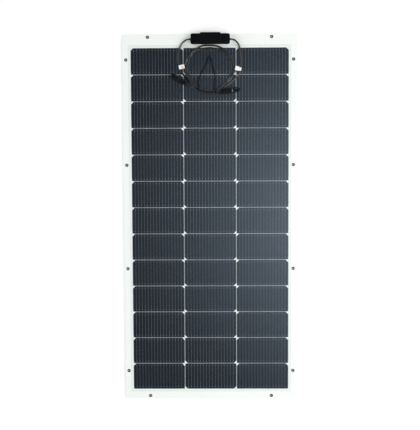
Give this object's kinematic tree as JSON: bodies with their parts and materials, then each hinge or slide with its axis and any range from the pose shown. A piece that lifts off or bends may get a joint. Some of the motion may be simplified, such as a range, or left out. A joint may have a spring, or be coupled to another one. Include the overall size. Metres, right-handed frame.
{
  "type": "flexible solar sheet",
  "caption": "Thin bendable solar sheet: dark half-cut cells in a white border with eyelets, a junction box at one end and two coiled leads with cable connectors.",
  "frame": {"origin": "middle of the sheet's back face", "axes": "+Z out of the cell side, +Y along the sheet towards the junction box, +X across it"},
  "size_m": [0.612, 1.294, 0.0216],
  "materials": {
    "backsheet": "white woven-looking rear film, satin",
    "encapsulant": "clear to milky bonding film",
    "silicon": "dark blue-black coated silicon wafer",
    "tinned_copper": "tinned copper, dull",
    "front_film": "fluoropolymer film with a fine embossed grain",
    "eyelet_metal": "plated pressed metal",
    "sealant": "white silicone",
    "black_plastic": "black moulded engineering plastic, satin",
    "black_rubber": "black rubber",
    "potting": "grey silicone",
    "lead_jacket": "black cable jacket",
    "tag": "white printed-label film, left blank",
    "tie_nylon": "black nylon",
    "ring": "grey sealing ring"
  },
  "bodies": {
    "head": {"backsheet_1": "backsheet", "rear_encapsulant_1": "encapsulant", "cells_1": "silicon", "cell_wires_1": "tinned_copper", "front_encapsulant_1": "encapsulant", "front_film_1": "front_film", "eyelets_1": "eyelet_metal", "top_bus": "tinned_copper", "sealant_bead": "sealant", "junction_base": "black_plastic", "lid_gasket": "black_rubber", "terminals": "tinned_copper", "bypass_diodes": "black_plastic", "potting": "potting", "left_gland": "black_rubber", "right_gland": "black_rubber", "left_lead": "lead_jacket", "right_lead": "lead_jacket", "left_tag": "tag", "right_tag": "tag", "left_tie": "tie_nylon", "right_tie": "tie_nylon", "socket_housing": "black_plastic", "socket_seal": "black_rubber", "socket_contact": "tinned_copper", "plug_housing": "black_plastic", "plug_seal": "black_rubber", "plug_contact": "tinned_copper", "plug_ring": "ring"},
    "strip_2": {"backsheet_2": "backsheet", "rear_encapsulant_2": "encapsulant", "cells_2": "silicon", "cell_wires_2": "tinned_copper", "front_encapsulant_2": "encapsulant", "front_film_2": "front_film", "eyelets_2": "eyelet_metal"},
    "strip_3": {"backsheet_3": "backsheet", "rear_encapsulant_3": "encapsulant", "cells_3": "silicon", "cell_wires_3": "tinned_copper", "front_encapsulant_3": "encapsulant", "front_film_3": "front_film", "eyelets_3": "eyelet_metal"},
    "strip_4": {"backsheet_4": "backsheet", "rear_encapsulant_4": "encapsulant", "cells_4": "silicon", "cell_wires_4": "tinned_copper", "front_encapsulant_4": "encapsulant", "front_film_4": "front_film", "eyelets_4": "eyelet_metal", "bottom_bus": "tinned_copper"},
    "lid": {"junction_lid": "black_plastic"},
    "socket_nut": {"socket_nut": "black_plastic"},
    "plug_nut": {"plug_nut": "black_plastic"},
    "latch_inner": {"latch_inner": "black_plastic"},
    "latch_outer": {"latch_outer": "black_plastic"}
  },
  "joints": [
    {"name": "bend_1", "type": "hinge", "parent": "head", "child": "strip_2", "pos_m": [0, 0.319, 0.00125], "axis": [-1, 0, 0], "range_deg": [0, 10], "stiffness_Nm_per_rad": 3.5},
    {"name": "bend_2", "type": "hinge", "parent": "strip_2", "child": "strip_3", "pos_m": [0, 0.04, 0.00125], "axis": [-1, 0, 0], "range_deg": [0, 10], "stiffness_Nm_per_rad": 3.5},
    {"name": "bend_3", "type": "hinge", "parent": "strip_3", "child": "strip_4", "pos_m": [0, -0.239, 0.00125], "axis": [-1, 0, 0], "range_deg": [0, 10], "stiffness_Nm_per_rad": 3.5},
    {"name": "lid_lift", "type": "slide", "parent": "head", "child": "lid", "axis": [0, 0, 1], "range_m": [0, 0.03]},
    {"name": "socket_nut_turn", "type": "hinge", "parent": "head", "child": "socket_nut", "pos_m": [-0.077, 0.4692, 0.0121], "axis": [-0.8572, 0.515, 0], "continuous": true},
    {"name": "plug_nut_turn", "type": "hinge", "parent": "head", "child": "plug_nut", "pos_m": [0.031, 0.4416, 0.0121], "axis": [0.9903, 0.1392, 0], "continuous": true},
    {"name": "latch_inner_press", "type": "hinge", "parent": "head", "child": "latch_inner", "pos_m": [0.07631, 0.45544, 0.0121], "axis": [0, 0, -1], "range_deg": [0, 4], "stiffness_Nm_per_rad": 0.3},
    {"name": "latch_outer_press", "type": "hinge", "parent": "head", "child": "latch_outer", "pos_m": [0.07837, 0.44078, 0.0121], "axis": [0, 0, 1], "range_deg": [0, 4], "stiffness_Nm_per_rad": 0.3}
  ],
  "couplings": [
    {"joint": "bend_2", "follows": "bend_1", "ratio": 1},
    {"joint": "bend_3", "follows": "bend_1", "ratio": 1}
  ]
}
